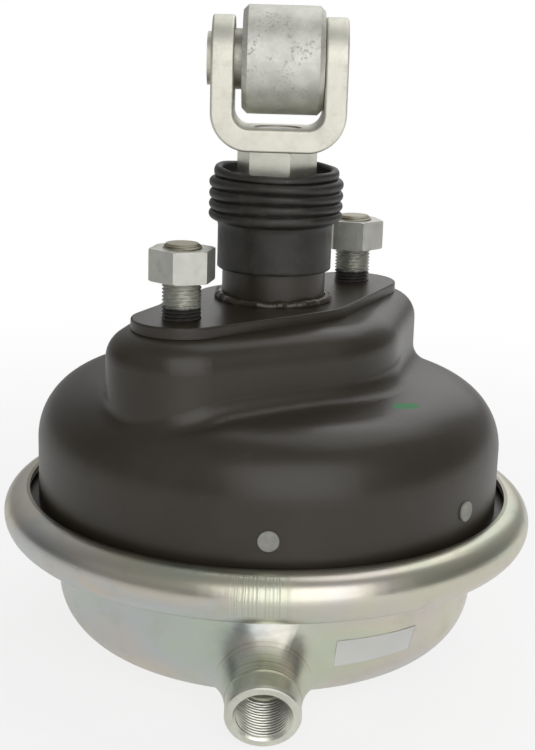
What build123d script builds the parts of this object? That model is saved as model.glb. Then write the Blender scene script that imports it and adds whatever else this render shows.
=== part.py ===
"""Air brake chamber with a roller clevis, in millimetres.

The origin is the centre of the mounting face, which is the top of the mounting plate.
+Z runs out along the pushrod, +X runs through the two mounting studs, and depths are
measured down from the mounting face into the chamber.
"""

import os
from math import atan2, cos, degrees, radians, sin, sqrt, tan

from build123d import *

# Mounting plate, studs and stud nuts
stud_spacing = 120.65
stud_r = 8.0
stud_reach = 30.5
stud_chamfer = 1.5
stud_head_r = 12.5
stud_head_t = 5.0
stud_fit = 0.1
nut_across_flats = 24.0
nut_height = 13.0
nut_seat = 15.5
nut_bevel_angle = 30.0
nut_corner_cut = 0.7
nut_turns = {"left": 26.3, "right": 52.9}
plate_t = 4.5
plate_end_r = 20.5
plate_mid_r = 35.0
plate_edge_round = 0.8

# Neck tube, standing in the plate and the housing, and its weld
neck_r = 22.3
neck_wall = 3.0
neck_reach = 31.0
neck_fit = 0.05
weld_leg = 3.6
weld_bulge = 2.2

# Housing on the pushrod side: wall, shoulder, conical crown and the pad under the plate
housing_t = 3.0
wall_r = 101.8
wall_top_depth = 61.5
wall_height = 31.0
shoulder_r = 27.0
crown_slope = 6.0
pad_end_r = 30.5
pad_mid_r = 56.0
pad_round = 12.0
pad_hollow = 8.0

# Clamped joint of the two shells
flange_reach = 9.5
bead_r = 10.5
bead_drop = 2.0
lip_gap = 4.7
lip_angle = 94.0
bead_foot_angle = -128.0
roll_lap = 5.0

# Pressure cover: bowl under the rolled bead
cover_t = 3.0
bowl_step = 11.3
bowl_top_gap = 0.2
bowl_depth = 51.8
bowl_taper = 5.8
bowl_corner_r = 25.0
floor_flat_r = 42.0
floor_slope = 12.0

# Air port: threaded boss on a drawn neck of the cover
port_turn = 217.9
port_tilt = 14.0
port_rise = 7.9
port_stand = 13.5
port_r = 15.0
port_length = 10.0
port_spigot_r = 12.2
port_spigot_fit = 0.05
port_thread_r = 10.188
port_thread_length = 22.0
port_passage_r = 6.0
port_chamfer = 1.1
port_countersink = 1.6
nose_r = 15.4
nose_fillet = 24.0

# Vent plugs in the housing wall
vent_drop = 12.5
vent_first_turn = -142.0
vent_step = 52.0
vent_count = 3
vent_hole_r = 3.0
vent_stem_fit = 0.1
vent_head_r = 4.2
vent_head_t = 1.0
vent_head_round = 0.35

# Diaphragm, push plate and return spring
diaphragm_t = 3.0
diaphragm_gap = 0.3
diaphragm_bend = 8.0
push_plate_t = 4.0
push_plate_flat_step = 5.0
push_plate_clear = 18.8
push_plate_bend = 10.0
push_plate_lip = 5.0
spring_wire_r = 2.75
spring_top_r = 38.0
spring_foot_r = 31.0
spring_turns = 5.0
spring_gap = 0.05

# Pushrod and lock nut
rod_r = 10.0
rod_weld_leg = 4.0
rod_chamfer = 1.5
lock_nut_across_flats = 30.0
lock_nut_height = 10.0
lock_nut_turn = 56.0
thread_fit = 0.05

# Clevis, pin, sleeve and roller
clevis_turn = -52.5
clevis_seat = 64.0
clevis_t = 9.4
clevis_gap = 37.6
clevis_width = 36.0
clevis_bend_r = 6.6
clevis_edge = 1.0
rod_end_drop = 0.5
pin_height = 101.1
pin_r = 8.0
pin_head_r = 11.0
pin_head_t = 2.0
pin_fit = 0.05
sleeve_r = 12.5
roller_r = 22.4
roller_width = 34.0
roller_chamfer = 2.2
roller_fit = 0.05
roller_side_gap = 0.3

# Rubber boot between the neck tube and the rod
boot_cuff_r = 24.6
boot_cuff_low = 13.5
boot_ring_r = 28.8
boot_ring_pitch = 4.8
boot_ring_count = 4
boot_first_ring = 36.5
boot_skin = 1.6
boot_rim_r = 27.0
boot_rim_rise = 2.2
boot_collar_wall = 3.0
boot_collar_height = 6.0
boot_collar_low = 40.0
boot_fit = 0.1
boot_rod_gap = 0.3

# Places worked out from the sizes above
stud_x = stud_spacing / 2
sides = {"left": -stud_x, "right": stud_x}
pad_top = -plate_t
pad_under = pad_top - housing_t
flange_depth = wall_top_depth + wall_height
vent_depth = wall_top_depth + vent_drop
bead_centre_r = wall_r + lip_gap
bead_depth = flange_depth + bead_drop
bowl_r = bead_centre_r - bowl_step
bowl_top_depth = bead_depth + bead_r + bowl_top_gap
floor_depth = bowl_top_depth + bowl_depth
floor_top = -floor_depth + cover_t
diaphragm_low = floor_top + diaphragm_gap
push_plate_flat_r = floor_flat_r - push_plate_flat_step
push_plate_low = diaphragm_low + diaphragm_t
push_plate_top = push_plate_low + push_plate_t
clevis_floor = clevis_seat + clevis_t


def bowl_corner(inset):
    """Point where the bowl's wall line meets its sloping floor line, both moved in by inset."""
    wall_tan = tan(radians(bowl_taper))
    slope_tan = tan(radians(floor_slope))
    top_r = bowl_r - inset / cos(radians(bowl_taper))
    flat_depth = floor_depth - inset / cos(radians(floor_slope))
    corner_r = top_r - (flat_depth + floor_flat_r * slope_tan - bowl_top_depth) * wall_tan
    corner_r = corner_r / (1 - slope_tan * wall_tan)
    return corner_r, -flat_depth + (corner_r - floor_flat_r) * slope_tan


def bowl_wall_r(z, inset):
    """Radius of the bowl's wall line at height z, moved in by inset."""
    top_r = bowl_r - inset / cos(radians(bowl_taper))
    return top_r - (-z - bowl_top_depth) * tan(radians(bowl_taper))


def bowl_path(inset, top_z):
    """Points of the bowl's line from its wall at top_z to the axis, moved in by inset."""
    flat_r = floor_flat_r - inset * tan(radians(floor_slope / 2))
    return [
        (bowl_wall_r(top_z, inset), top_z),
        bowl_corner(inset),
        (flat_r, -floor_depth + inset),
        (0, -floor_depth + inset),
    ]


def stud_pair_outline(end_r, mid_r):
    """Outline round both studs and the neck, added to the sketch that is open."""
    with Locations((-stud_x, 0), (stud_x, 0)):
        Circle(end_r)
    Circle(mid_r)
    make_hull()


def housing_form(inset):
    """Closed form of the domed housing with its pad, every face moved in by inset.

    The pad is rounded along its top and runs out on the dome in a hollow round, tighter inside.
    """
    with BuildPart() as form:
        with BuildSketch(Plane.XY.offset(-wall_top_depth)):
            stud_pair_outline(pad_end_r - inset, pad_mid_r - inset)
        extrude(amount=wall_top_depth + pad_top - inset)
        fillet(form.faces().sort_by(Axis.Z)[-1].edges(), pad_round - inset)
        with BuildSketch(Plane.XZ):
            with BuildLine():
                shoulder = CenterArc(
                    (wall_r - shoulder_r, -wall_top_depth),
                    shoulder_r - inset,
                    0,
                    90 - crown_slope,
                )
                wall = Line(shoulder @ 0, ((shoulder @ 0).X, -flange_depth))
                base = Line(wall @ 1, (0, -flange_depth))
                peak_z = (shoulder @ 1).Y + (shoulder @ 1).X * tan(radians(crown_slope))
                axis_line = Line(base @ 1, (0, peak_z))
                Line(axis_line @ 1, shoulder @ 1)
            make_face()
        revolve(axis=Axis.Z)
        new_edges = form.edges(Select.LAST)
        foot = new_edges.filter_by(lambda edge: edge.geom_type not in (GeomType.CIRCLE, GeomType.LINE))
        fillet(foot, pad_hollow - inset)
    return form.part


def hex_nut(across_flats, height, hole_r, seat_z, centre, turn):
    """Hexagon nut with turned corners top and bottom, standing at seat_z round an upright axis."""
    corner_r = across_flats / sqrt(3)
    turned = corner_r - nut_corner_cut
    bevel = nut_corner_cut * tan(radians(nut_bevel_angle))
    with BuildPart() as nut:
        with BuildSketch(Plane.XY.offset(seat_z)):
            with Locations(centre):
                RegularPolygon(across_flats / 2, 6, major_radius=False, rotation=turn)
                Circle(hole_r, mode=Mode.SUBTRACT)
        extrude(amount=height)
        with BuildSketch(Plane(origin=(*centre, seat_z), x_dir=(1, 0, 0), z_dir=(0, -1, 0))):
            Polygon(
                (0, 0),
                (turned, 0),
                (corner_r, bevel),
                (corner_r, height - bevel),
                (turned, height),
                (0, height),
                align=None,
            )
        revolve(axis=Axis((*centre, seat_z), (0, 0, 1)), mode=Mode.INTERSECT)
    return nut.part


def save(part, name):
    """Label a finished piece and write it under that name."""
    part.label = name
    export_step(part, f"parts/{name}.step")


os.makedirs("parts", exist_ok=True)

# Housing shell on the pushrod side, with its flange, stud and neck holes and vent holes
outer_form = housing_form(0)
inner_form = housing_form(housing_t)
vent_turns = [vent_first_turn + vent_step * index for index in range(vent_count)]
vent_planes = [
    Plane(
        origin=(wall_r * cos(radians(turn)), wall_r * sin(radians(turn)), -vent_depth),
        z_dir=(cos(radians(turn)), sin(radians(turn)), 0),
    )
    for turn in vent_turns
]
with BuildPart() as upper_housing:
    add(outer_form)
    add(inner_form, mode=Mode.SUBTRACT)
    with BuildSketch(Plane.XZ):
        with Locations((wall_r - housing_t, -flange_depth)):
            Rectangle(housing_t + flange_reach, housing_t, align=(Align.MIN, Align.MIN))
    revolve(axis=Axis.Z)
    with BuildSketch(Plane.XY.offset(pad_under)):
        Circle(neck_r + neck_fit)
        with Locations((-stud_x, 0), (stud_x, 0)):
            Circle(stud_r + stud_fit)
    extrude(amount=housing_t, mode=Mode.SUBTRACT)
    for plane in vent_planes:
        with BuildSketch(plane):
            Circle(vent_hole_r)
        extrude(amount=housing_t, both=True, mode=Mode.SUBTRACT)
save(upper_housing.part, "upper_housing")

# Vent plugs, each a flat head on the wall and a stem in its hole
for index, plane in enumerate(vent_planes):
    with BuildPart() as vent_plug:
        with BuildSketch(plane):
            Circle(vent_head_r)
        extrude(amount=vent_head_t)
        fillet(vent_plug.faces().sort_by_distance((0, 0, -vent_depth))[-1].edges(), vent_head_round)
        with BuildSketch(plane):
            Circle(vent_hole_r - vent_stem_fit)
        extrude(amount=-housing_t)
    save(vent_plug.part, f"vent_plug_{index + 1}")

# Mounting plate
with BuildPart() as mounting_plate:
    with BuildSketch(Plane.XY.offset(pad_top)):
        stud_pair_outline(plate_end_r, plate_mid_r)
        Circle(neck_r + neck_fit, mode=Mode.SUBTRACT)
        with Locations((-stud_x, 0), (stud_x, 0)):
            Circle(stud_r + stud_fit, mode=Mode.SUBTRACT)
    extrude(amount=plate_t)
    rim = mounting_plate.faces().sort_by(Axis.Z)[-1].outer_wire().edges()
    fillet(rim, plate_edge_round)
save(mounting_plate.part, "mounting_plate")

# Neck tube through the plate and the housing, and the weld round its foot
with BuildPart() as neck_tube:
    with BuildSketch(Plane.XY.offset(pad_under)):
        Circle(neck_r)
        Circle(neck_r - neck_wall, mode=Mode.SUBTRACT)
    extrude(amount=neck_reach - pad_under)
save(neck_tube.part, "neck_tube")

with BuildPart() as neck_weld:
    with BuildSketch(Plane.XZ):
        with BuildLine():
            foot = Line((neck_r + neck_fit, 0), (neck_r + neck_fit + weld_leg, 0))
            back = Line((neck_r + neck_fit, 0), (neck_r + neck_fit, weld_leg))
            ThreePointArc(foot @ 1, (neck_r + neck_fit + weld_bulge, weld_bulge), back @ 1)
        make_face()
    revolve(axis=Axis.Z)
save(neck_weld.part, "neck_weld")

# Mounting studs, headed under the pad, and their nuts
for side, x in sides.items():
    with BuildPart() as stud:
        with BuildSketch(Plane.XY.offset(pad_under - stud_head_t)):
            with Locations((x, 0)):
                Circle(stud_head_r)
        extrude(amount=stud_head_t)
        with BuildSketch(Plane.XY.offset(pad_under)):
            with Locations((x, 0)):
                Circle(stud_r)
        extrude(amount=stud_reach - pad_under)
        chamfer(stud.faces().sort_by(Axis.Z)[-1].edges(), stud_chamfer)
    save(stud.part, f"mounting_stud_{side}")
    nut = hex_nut(nut_across_flats, nut_height, stud_r + thread_fit, nut_seat, (x, 0), nut_turns[side])
    save(nut, f"stud_nut_{side}")

# Pressure cover: sheet section from the lip round the bead and down the bowl, and the port's neck
port_dir = Vector(
    cos(radians(port_tilt)) * cos(radians(port_turn)),
    cos(radians(port_tilt)) * sin(radians(port_turn)),
    -sin(radians(port_tilt)),
)
port_foot_z = bowl_corner(0)[1] + port_rise
port_foot_r = bowl_wall_r(port_foot_z, 0) + port_stand
port_foot = Vector(
    port_foot_r * cos(radians(port_turn)),
    port_foot_r * sin(radians(port_turn)),
    port_foot_z,
)
port_mouth = port_foot + port_dir * port_length
mouth_plane = Plane(origin=port_mouth, z_dir=port_dir)
neck_plane = Plane(origin=port_foot, z_dir=port_dir)
neck_run = port_stand + cover_t + bowl_corner_r
spigot_length = (port_foot_r - bowl_wall_r(port_foot_z, cover_t)) / cos(radians(port_tilt))
lap_z = -bowl_top_depth - roll_lap
with BuildPart() as pressure_cover:
    with BuildSketch(Plane.XZ):
        with BuildLine():
            outer = FilletPolyline(*bowl_path(0, -bowl_top_depth), radius=bowl_corner_r)
            Polyline(outer @ 1, (0, -bowl_top_depth), outer @ 0)
        make_face()
    revolve(axis=Axis.Z)
    with BuildSketch(neck_plane):
        Circle(nose_r)
    extrude(amount=-neck_run)
    nose_side = pressure_cover.faces().filter_by(GeomType.CYLINDER).sort_by_distance(neck_plane.origin)[0]
    seam = nose_side.edges().filter_by(lambda edge: edge.geom_type not in (GeomType.CIRCLE, GeomType.LINE))
    fillet(seam, nose_fillet)
    with BuildSketch(Plane.XZ):
        with BuildLine():
            inner = FilletPolyline(*bowl_path(cover_t, -bowl_top_depth), radius=bowl_corner_r - cover_t)
            Polyline(inner @ 1, (0, -bowl_top_depth), inner @ 0)
        make_face()
    revolve(axis=Axis.Z, mode=Mode.SUBTRACT)
    with BuildSketch(Plane.XZ):
        with BuildLine():
            roll = CenterArc(
                (bead_centre_r, -bead_depth), bead_r, lip_angle, bead_foot_angle - lip_angle
            )
            Polyline(roll @ 1, (bowl_r, -bowl_top_depth), (bowl_wall_r(lap_z, 0), lap_z))
            offset(amount=cover_t, side=Side.RIGHT)
        make_face()
    revolve(axis=Axis.Z)
    with BuildSketch(neck_plane):
        Circle(port_spigot_r + port_spigot_fit)
    extrude(amount=-neck_run, mode=Mode.SUBTRACT)
save(pressure_cover.part, "pressure_cover")

# Air port boss with a spigot in the cover's neck, threaded from its mouth and plain behind the thread
with BuildPart() as port_boss:
    with BuildSketch(neck_plane):
        Circle(port_r)
    extrude(amount=port_length)
    chamfer(port_boss.faces().sort_by_distance(port_mouth)[0].outer_wire().edges(), port_chamfer)
    with BuildSketch(neck_plane):
        Circle(port_spigot_r)
    extrude(amount=-spigot_length)
    with BuildSketch(mouth_plane):
        Circle(port_passage_r)
    extrude(amount=-port_length - spigot_length, mode=Mode.SUBTRACT)
    with BuildSketch(mouth_plane):
        Circle(port_thread_r)
    extrude(amount=-port_thread_length, mode=Mode.SUBTRACT)
    mouth_edges = port_boss.edges().filter_by(GeomType.CIRCLE).group_by(Axis(port_mouth, port_dir))[-1]
    chamfer(mouth_edges.sort_by(SortBy.RADIUS)[0], port_countersink)
save(port_boss.part, "port_boss")

# Diaphragm: a rim bead clamped under the housing's flange and a cup that lies in the bowl
cup_inset = cover_t + diaphragm_gap
cup_top = -bowl_top_depth + cover_t
rim_low = -bead_depth - bead_r + cup_inset
with BuildPart() as diaphragm:
    with BuildSketch(Plane.XZ):
        with BuildLine():
            FilletPolyline(
                (bead_centre_r, -flange_depth - diaphragm_t),
                (bowl_r, -flange_depth - diaphragm_t),
                *bowl_path(cup_inset, cup_top),
                radius=[diaphragm_bend, diaphragm_bend, bowl_corner_r - cup_inset, bowl_corner_r - cup_inset],
            )
            offset(amount=diaphragm_t, side=Side.RIGHT)
        make_face()
        with Locations((bead_centre_r, (rim_low - flange_depth) / 2)):
            Circle((-flange_depth - rim_low) / 2)
    revolve(axis=Axis.Z)
save(diaphragm.part, "diaphragm")

# Push plate, dished like the cover's floor, with its rim turned up clear of the diaphragm
push_plate_r = bowl_corner(cup_inset + diaphragm_t)[0] - push_plate_clear
with BuildPart() as push_plate:
    rim_rise = (push_plate_r - push_plate_flat_r) * tan(radians(floor_slope))
    with BuildSketch(Plane.XZ):
        with BuildLine():
            FilletPolyline(
                (0, push_plate_low),
                (push_plate_flat_r, push_plate_low),
                (push_plate_r, push_plate_low + rim_rise),
                (push_plate_r + push_plate_lip, push_plate_low + rim_rise + push_plate_lip),
                radius=push_plate_bend,
            )
            offset(amount=push_plate_t, side=Side.LEFT)
        make_face()
    revolve(axis=Axis.Z)
save(push_plate.part, "push_plate")

# Return spring, a cone of round wire from the push plate to the underside of the pad
spring_low = push_plate_top + spring_wire_r + spring_gap
spring_high = pad_under - spring_wire_r - spring_gap
spring_height = spring_high - spring_low
spring_lean = degrees(atan2(spring_top_r - spring_foot_r, spring_height))
with BuildPart() as return_spring:
    with BuildLine() as coil:
        Helix(
            pitch=spring_height / spring_turns,
            height=spring_height,
            radius=spring_foot_r,
            center=(0, 0, spring_low),
            cone_angle=spring_lean,
        )
    with BuildSketch(Plane(origin=coil.line @ 0, z_dir=coil.line % 0)):
        Circle(spring_wire_r)
    sweep(is_frenet=True)
save(return_spring.part, "return_spring")

# Pushrod, welded to the push plate and screwed into the clevis
with BuildPart() as pushrod:
    with BuildSketch(Plane.XY.offset(push_plate_top)):
        Circle(rod_r)
    extrude(amount=clevis_floor - rod_end_drop - push_plate_top)
    chamfer(pushrod.faces().sort_by(Axis.Z)[-1].edges(), rod_chamfer)
save(pushrod.part, "pushrod")

with BuildPart() as rod_weld:
    with BuildSketch(Plane.XZ):
        Polygon(
            (rod_r + thread_fit, push_plate_top),
            (rod_r + thread_fit + rod_weld_leg, push_plate_top),
            (rod_r + thread_fit, push_plate_top + rod_weld_leg),
            align=None,
        )
    revolve(axis=Axis.Z)
save(rod_weld.part, "rod_weld")

lock_nut = hex_nut(
    lock_nut_across_flats,
    lock_nut_height,
    rod_r + thread_fit,
    clevis_seat - lock_nut_height,
    (0, 0),
    lock_nut_turn,
)
save(lock_nut, "lock_nut")

# Clevis: a strip bent to a U, round ended at the pin, drilled for the pin and the rod
clevis_x = Vector(cos(radians(clevis_turn)), sin(radians(clevis_turn)), 0)
clevis_depth = Vector(-clevis_x.Y, clevis_x.X, 0)
clevis_front = Plane(origin=(0, 0, 0), x_dir=clevis_x, z_dir=-clevis_depth)
pin_centre = Vector(0, 0, pin_height)
half_gap = clevis_gap / 2
half_width = clevis_width / 2
with BuildPart() as clevis:
    with BuildSketch(clevis_front):
        with BuildLine():
            FilletPolyline(
                (-half_gap, pin_height + half_width),
                (-half_gap, clevis_floor),
                (half_gap, clevis_floor),
                (half_gap, pin_height + half_width),
                radius=clevis_bend_r,
            )
            offset(amount=clevis_t, side=Side.RIGHT)
        make_face()
    extrude(amount=half_width, both=True)
    with BuildSketch(Plane(origin=pin_centre, x_dir=clevis_depth, z_dir=clevis_x)):
        Circle(half_width)
        Rectangle(clevis_width, pin_height, align=(Align.CENTER, Align.MAX))
    extrude(amount=half_gap + clevis_t, both=True, mode=Mode.INTERSECT)
    flanks = clevis.faces().filter_by(Axis((0, 0, 0), clevis_depth))
    fillet(flanks.edges(), clevis_edge)
    with BuildSketch(Plane(origin=pin_centre, x_dir=clevis_depth, z_dir=clevis_x)):
        Circle(pin_r + pin_fit)
    extrude(amount=half_gap + clevis_t, both=True, mode=Mode.SUBTRACT)
    with BuildSketch(Plane.XY.offset(clevis_seat)):
        Circle(rod_r + thread_fit)
    extrude(amount=clevis_t, mode=Mode.SUBTRACT)
save(clevis.part, "clevis")

# Clevis pin with its head outside the left arm, and the sleeve that it clamps between the arms
pin_start = pin_centre - clevis_x * (half_gap + clevis_t)
with BuildPart() as clevis_pin:
    with BuildSketch(Plane(origin=pin_start, z_dir=clevis_x)):
        Circle(pin_head_r)
    extrude(amount=-pin_head_t)
    with BuildSketch(Plane(origin=pin_start, z_dir=clevis_x)):
        Circle(pin_r)
    extrude(amount=clevis_gap + 2 * clevis_t)
save(clevis_pin.part, "clevis_pin")

with BuildPart() as roller_sleeve:
    with BuildSketch(Plane(origin=pin_centre - clevis_x * half_gap, z_dir=clevis_x)):
        Circle(sleeve_r)
        Circle(pin_r + pin_fit, mode=Mode.SUBTRACT)
    extrude(amount=clevis_gap)
save(roller_sleeve.part, "roller_sleeve")

# Roller, pushed over against the right arm
roller_end = pin_centre + clevis_x * (half_gap - roller_side_gap)
with BuildPart() as roller:
    with BuildSketch(Plane(origin=roller_end, z_dir=clevis_x)):
        Circle(roller_r)
    extrude(amount=-roller_width)
    chamfer(roller.edges().filter_by(GeomType.CIRCLE), roller_chamfer)
    with BuildSketch(Plane(origin=roller_end, z_dir=clevis_x)):
        Circle(sleeve_r + roller_fit)
    extrude(amount=-roller_width, mode=Mode.SUBTRACT)
save(roller.part, "roller")

# Rubber boot: cuff on the neck tube, stacked rings, and a cup that runs in to a collar on the rod
ring_half = boot_ring_pitch / 2
ring_core_r = boot_ring_r - ring_half
last_ring = boot_first_ring + boot_ring_pitch * (boot_ring_count - 1)
rim_z = last_ring + ring_half + boot_rim_rise
collar_r = rod_r + boot_rod_gap
collar_top = boot_collar_low + boot_collar_height
with BuildPart() as rod_boot:
    with BuildSketch(Plane.XZ):
        with Locations((neck_r + boot_fit, boot_cuff_low)):
            Rectangle(
                boot_cuff_r - neck_r - boot_fit,
                boot_first_ring - boot_cuff_low,
                align=(Align.MIN, Align.MIN),
            )
        with Locations((ring_core_r - boot_skin, boot_first_ring)):
            Rectangle(boot_skin, last_ring - boot_first_ring, align=(Align.MIN, Align.MIN))
        ring_places = [(ring_core_r, boot_first_ring + boot_ring_pitch * i) for i in range(boot_ring_count)]
        with Locations(*ring_places):
            Circle(ring_half)
        Polygon(
            (boot_rim_r, last_ring),
            (boot_rim_r, rim_z),
            (boot_rim_r - boot_skin, rim_z),
            (collar_r + boot_collar_wall, collar_top),
            (collar_r, collar_top),
            (collar_r, boot_collar_low),
            (collar_r + boot_collar_wall, boot_collar_low),
            (ring_core_r - boot_skin, last_ring - ring_half),
            align=None,
        )
    revolve(axis=Axis.Z)
save(rod_boot.part, "rod_boot")
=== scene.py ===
"""Air brake chamber with a roller clevis: fine pieces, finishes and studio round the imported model."""

import math

import bpy
import numpy as np
from mathutils import Matrix, Vector


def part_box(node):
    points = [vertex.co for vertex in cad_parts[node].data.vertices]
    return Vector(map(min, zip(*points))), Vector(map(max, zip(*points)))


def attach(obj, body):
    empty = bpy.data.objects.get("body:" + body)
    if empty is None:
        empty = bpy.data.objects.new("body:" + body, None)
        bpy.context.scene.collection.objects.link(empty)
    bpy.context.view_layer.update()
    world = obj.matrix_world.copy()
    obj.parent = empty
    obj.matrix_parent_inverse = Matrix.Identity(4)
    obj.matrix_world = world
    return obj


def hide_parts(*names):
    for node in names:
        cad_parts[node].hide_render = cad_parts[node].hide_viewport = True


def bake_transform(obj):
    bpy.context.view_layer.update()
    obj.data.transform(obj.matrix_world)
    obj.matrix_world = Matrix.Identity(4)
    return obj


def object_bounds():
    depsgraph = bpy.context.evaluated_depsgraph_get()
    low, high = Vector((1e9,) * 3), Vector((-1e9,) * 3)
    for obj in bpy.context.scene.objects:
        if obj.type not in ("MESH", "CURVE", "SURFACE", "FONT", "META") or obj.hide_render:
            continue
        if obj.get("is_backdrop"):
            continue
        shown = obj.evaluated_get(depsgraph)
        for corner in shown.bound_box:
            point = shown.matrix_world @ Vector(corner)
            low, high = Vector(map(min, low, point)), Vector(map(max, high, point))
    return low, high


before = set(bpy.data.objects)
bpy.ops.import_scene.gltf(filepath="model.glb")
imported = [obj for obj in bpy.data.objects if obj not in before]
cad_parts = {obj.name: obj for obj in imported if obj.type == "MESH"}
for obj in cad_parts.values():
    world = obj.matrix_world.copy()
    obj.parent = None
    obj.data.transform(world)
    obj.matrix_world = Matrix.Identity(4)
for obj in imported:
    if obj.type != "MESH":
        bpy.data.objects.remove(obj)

bl_info = {
    "name": "Air Brake Chamber",
    "version": (1, 0, 0),
    "blender": (4, 5, 0),
    "location": "3D View > Sidebar > Brake Chamber",
    "description": "Threads, weld, boot, spring, diaphragm, label, finishes and studio of an air brake chamber",
    "category": "Object",
}

MM = 0.001
STUDS = {"left": "mounting_stud_left", "right": "mounting_stud_right"}
PAINT_LINE = 5.2 * MM  # height on the studs below which they are painted with the plate
NUT_TOP = 28.5 * MM  # height at which the studs' ends come out of the nuts

# Air port: unit vector out of its mouth, the mouth's centre, then radii, and depths from the mouth.
PORT_DIRECTION = np.array([-0.765645, -0.596038, -0.241922])
PORT_MOUTH = np.array([-0.0907459, -0.0706438, -0.1411048])
PORT_BORE = 10.188 * MM
PORT_PASSAGE = 6.0 * MM
PORT_SPIGOT = 12.2 * MM
PORT_BOSS = 15.0 * MM
PORT_CHAMFER = 1.6 * MM
PORT_BOSS_DEPTH = 10.0 * MM
PORT_THREAD_DEPTH = 22.0 * MM
PORT_SPIGOT_DEPTH = 27.0 * MM

# Wall of the bowl: a cone that narrows downwards from its upper edge.
BOWL_TOP_RADIUS = 0.0952
BOWL_TOP_Z = -0.1052
BOWL_TAPER = math.radians(5.8)

# Blank label: angles in degrees of its left and right edges at the foot and at the head,
# and heights in millimetres of its foot and head at the left and at the right.
LABEL_LEFT, LABEL_RIGHT = (235.33, 235.79), (257.74, 259.38)
LABEL_FOOT, LABEL_HEAD = (-132.11, -131.13), (-120.36, -121.48)

# Green dab on the crown: its centre, the cosine and sine of its turn, its half length and half width.
DAB_CENTRE = (-4.0 * MM, -73.5 * MM)
DAB_COSINE, DAB_SINE = 0.90, 0.44
DAB_LENGTH, DAB_WIDTH = 7.0 * MM, 3.6 * MM

# Drifting tints of the passivated plating, as stops of a colour ramp.
PLATING_TINTS = [
    (0.22, (0.56, 0.66, 0.55)),
    (0.38, (0.68, 0.66, 0.51)),
    (0.52, (0.68, 0.62, 0.56)),
    (0.64, (0.60, 0.63, 0.65)),
    (0.80, (0.56, 0.66, 0.56)),
]

# Camera, fitted to the photograph: turn, pitch and roll, distance, and the point it looks at.
CAMERA_TURN, CAMERA_PITCH, CAMERA_ROLL = np.radians([217.52, 14.51, 1.69]).tolist()
CAMERA_DISTANCE = 620.69 * MM
TARGET_SIDE, TARGET_Z = -1.31 * MM, -35.24 * MM
SENSOR_WIDTH = 36.0
FOCAL_SHARE = 1401.03 / 750.0  # focal length as a share of the picture's longer side

# Studio lamps: metres towards the camera, to its right and up from the point they face, then size and power.
LAMPS = {
    "Key": (1.27, 0.32, 0.62, 1.5, 11.0),
    "Fill": (0.70, -1.15, 0.25, 1.2, 0.5),
    "Top": (-0.50, 0.36, 1.25, 1.1, 4.2),
    "Back": (-1.15, 0.30, 0.70, 1.1, 2.4),
}
LAMP_AIM_Z = -0.05
FLOOR_REACH, FLOOR_GAP = 6.0, 0.0002


class ChamberSizes(bpy.types.PropertyGroup):
    """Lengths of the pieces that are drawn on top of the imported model."""

    stud_pitch: bpy.props.FloatProperty(
        name="Stud thread pitch", description="Rise of the stud's thread in one turn",
        default=1.5 * MM, unit="LENGTH",
    )
    stud_groove: bpy.props.FloatProperty(
        name="Stud thread depth", description="Depth of the stud's thread groove",
        default=0.85 * MM, unit="LENGTH",
    )
    stud_radius: bpy.props.FloatProperty(
        name="Stud radius", description="Radius over the thread of the stud",
        default=8.0 * MM, unit="LENGTH",
    )
    stud_chamfer: bpy.props.FloatProperty(
        name="Stud chamfer", description="Chamfer on the stud's free end",
        default=1.5 * MM, unit="LENGTH",
    )
    port_pitch: bpy.props.FloatProperty(
        name="Port thread pitch", description="Rise of the air port's thread in one turn",
        default=1.5 * MM, unit="LENGTH",
    )
    port_groove: bpy.props.FloatProperty(
        name="Port thread depth", description="Depth of the air port's thread groove",
        default=0.81 * MM, unit="LENGTH",
    )
    weld_ripple: bpy.props.FloatProperty(
        name="Weld ripple", description="Height of the ripples on the neck weld",
        default=0.06 * MM, unit="LENGTH",
    )
    boot_wave: bpy.props.FloatProperty(
        name="Boot rim wave", description="How far the boot's free rim waves up and down",
        default=1.0 * MM, unit="LENGTH",
    )
    label_lift: bpy.props.FloatProperty(
        name="Label thickness", description="Thickness of the blank label",
        default=0.15 * MM, unit="LENGTH",
    )


class ChamberColours(bpy.types.PropertyGroup):
    """Colours of the finishes."""

    paint: bpy.props.FloatVectorProperty(
        name="Paint", description="Black paint of the housing",
        subtype="COLOR", default=(0.027, 0.0215, 0.0145),
    )
    zinc: bpy.props.FloatVectorProperty(
        name="Cover plating", description="Yellowish plating of the cover",
        subtype="COLOR", default=(0.65, 0.65, 0.57),
    )
    clevis: bpy.props.FloatVectorProperty(
        name="Clevis plating", description="Dull pale plating of the clevis",
        subtype="COLOR", default=(0.76, 0.75, 0.66),
    )
    nut: bpy.props.FloatVectorProperty(
        name="Nut plating", description="Grey plating of nuts and studs",
        subtype="COLOR", default=(0.60, 0.60, 0.55),
    )
    roller: bpy.props.FloatVectorProperty(
        name="Roller steel", description="Scuffed steel of the roller",
        subtype="COLOR", default=(0.735, 0.73, 0.67),
    )
    rubber: bpy.props.FloatVectorProperty(
        name="Rubber", description="Rubber of the boot and diaphragm",
        subtype="COLOR", default=(0.015, 0.014, 0.0115),
    )
    vent: bpy.props.FloatVectorProperty(
        name="Vent plugs", description="Grey plastic of the vent plugs",
        subtype="COLOR", default=(0.30, 0.30, 0.27),
    )
    label: bpy.props.FloatVectorProperty(
        name="Label", description="Paper of the blank label",
        subtype="COLOR", default=(0.70, 0.70, 0.675),
    )
    mark: bpy.props.FloatVectorProperty(
        name="Paint mark", description="Green dab on the crown",
        subtype="COLOR", default=(0.034, 0.235, 0.080),
    )


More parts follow.
